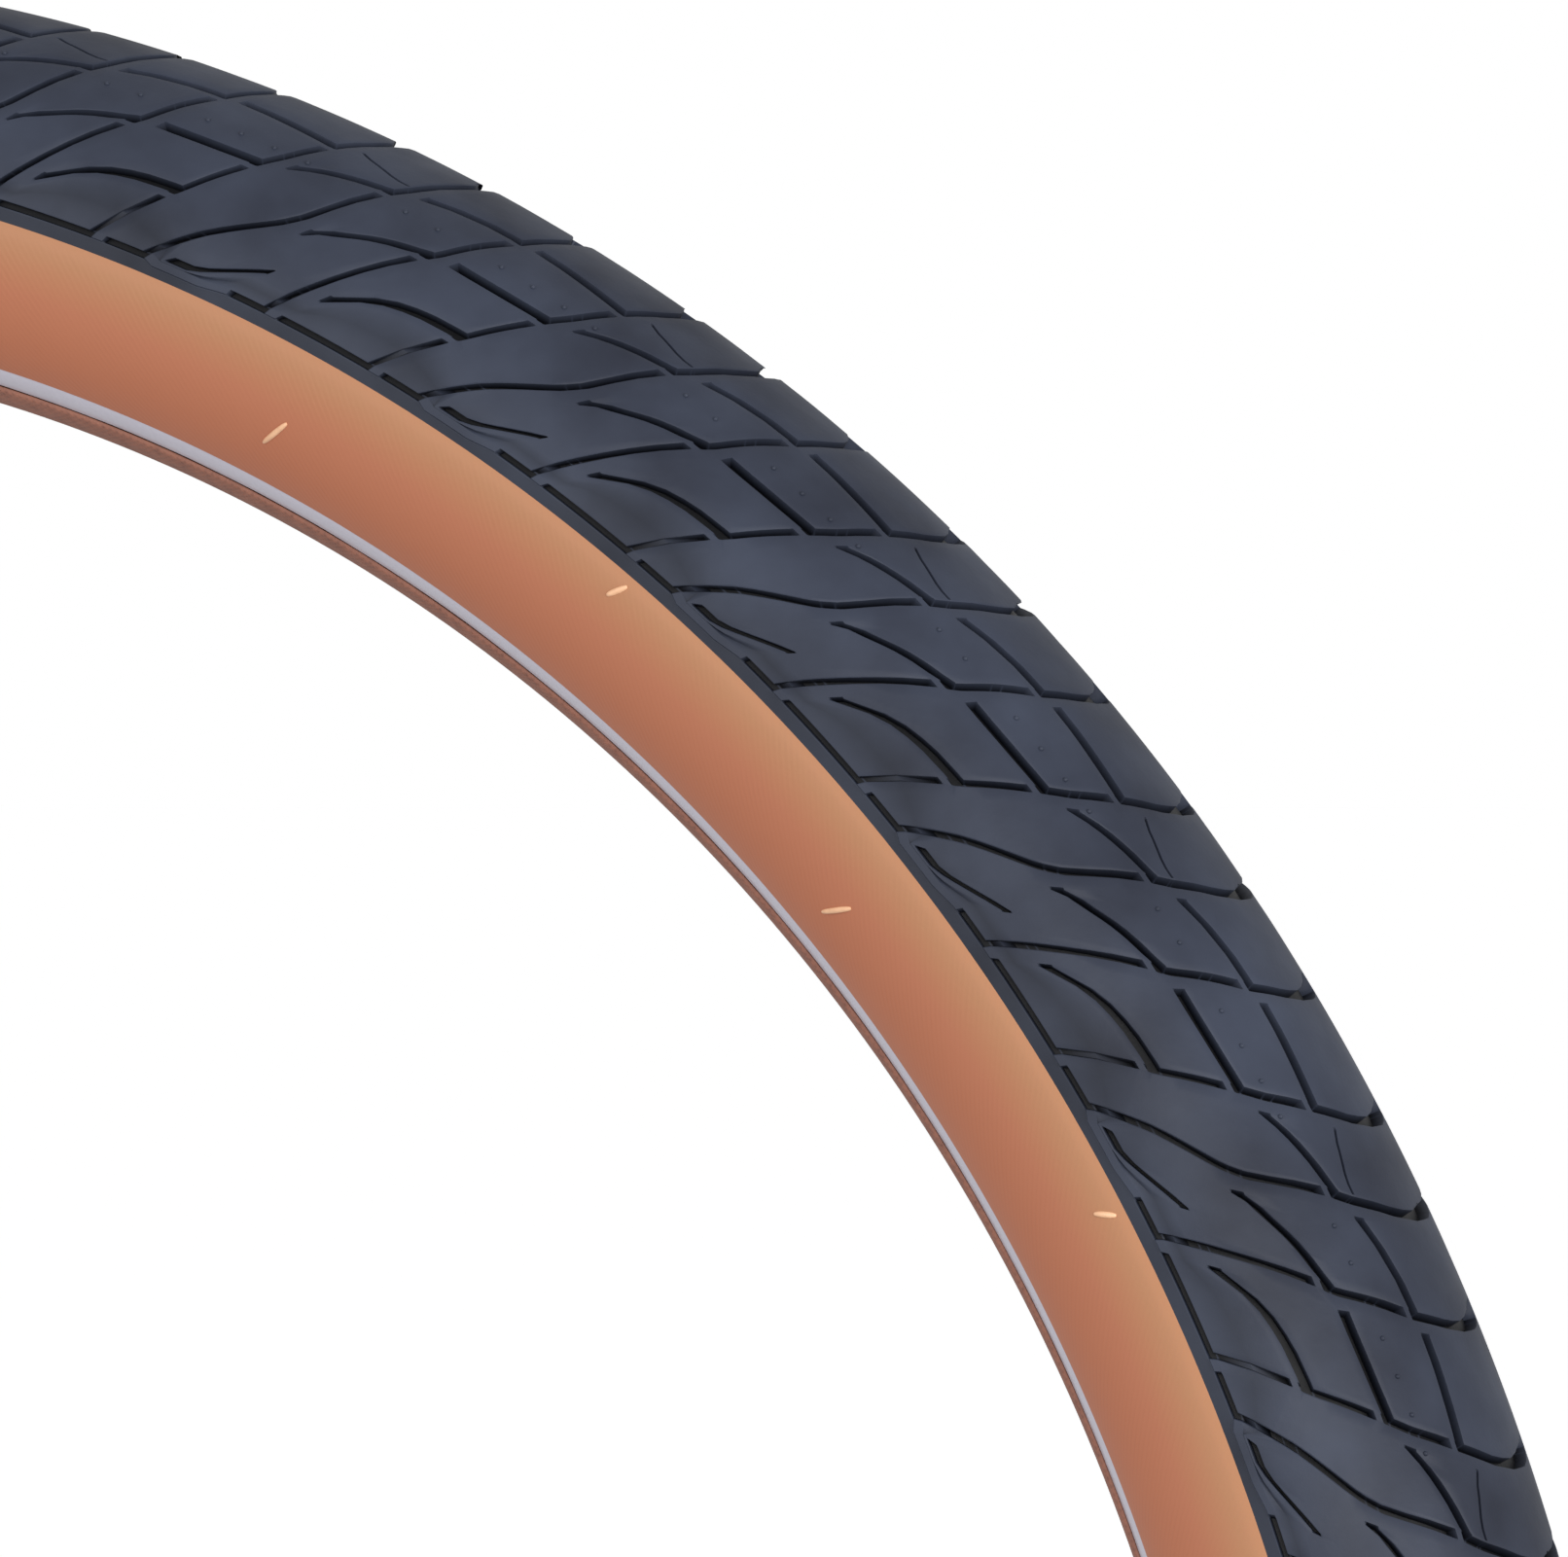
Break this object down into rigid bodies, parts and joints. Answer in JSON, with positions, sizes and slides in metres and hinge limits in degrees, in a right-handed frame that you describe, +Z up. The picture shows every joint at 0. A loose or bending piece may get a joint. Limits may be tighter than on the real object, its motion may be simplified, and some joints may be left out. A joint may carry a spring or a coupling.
{
  "type": "bicycle tyre",
  "caption": "Wide bicycle tyre, a hollow ring open towards its axle, with a black blocky tread of slanting grooves, tan sidewalls, pale strips and two stiff beads.",
  "frame": {"origin": "centre of the tyre: on the wheel's axle line, midway between the two beads", "axes": "+Y along the axle towards the left side, +Z up with the tyre standing upright, +X along the ground"},
  "size_m": [0.701, 0.065, 0.701],
  "materials": {
    "tread_rubber": "matt, slightly satin black rubber",
    "sidewall_rubber": "satin tan rubber with the cords showing through",
    "strip_film": "smooth grey retroreflective tape",
    "chafer_rubber": "matt brown rubber-coated strip",
    "casing_fabric": "rubber-coated nylon cord",
    "belt_fabric": "woven cord",
    "bead_steel": "brassed steel wire cable"
  },
  "bodies": {
    "root": {"tread": "tread_rubber", "puncture_belt": "belt_fabric", "casing_ply": "casing_fabric", "sidewall_left": "sidewall_rubber", "reflective_strip_left": "strip_film", "bead_chafer_left": "chafer_rubber", "bead_core_left": "bead_steel", "sidewall_right": "sidewall_rubber", "reflective_strip_right": "strip_film", "bead_chafer_right": "chafer_rubber", "bead_core_right": "bead_steel"}
  },
  "joints": []
}
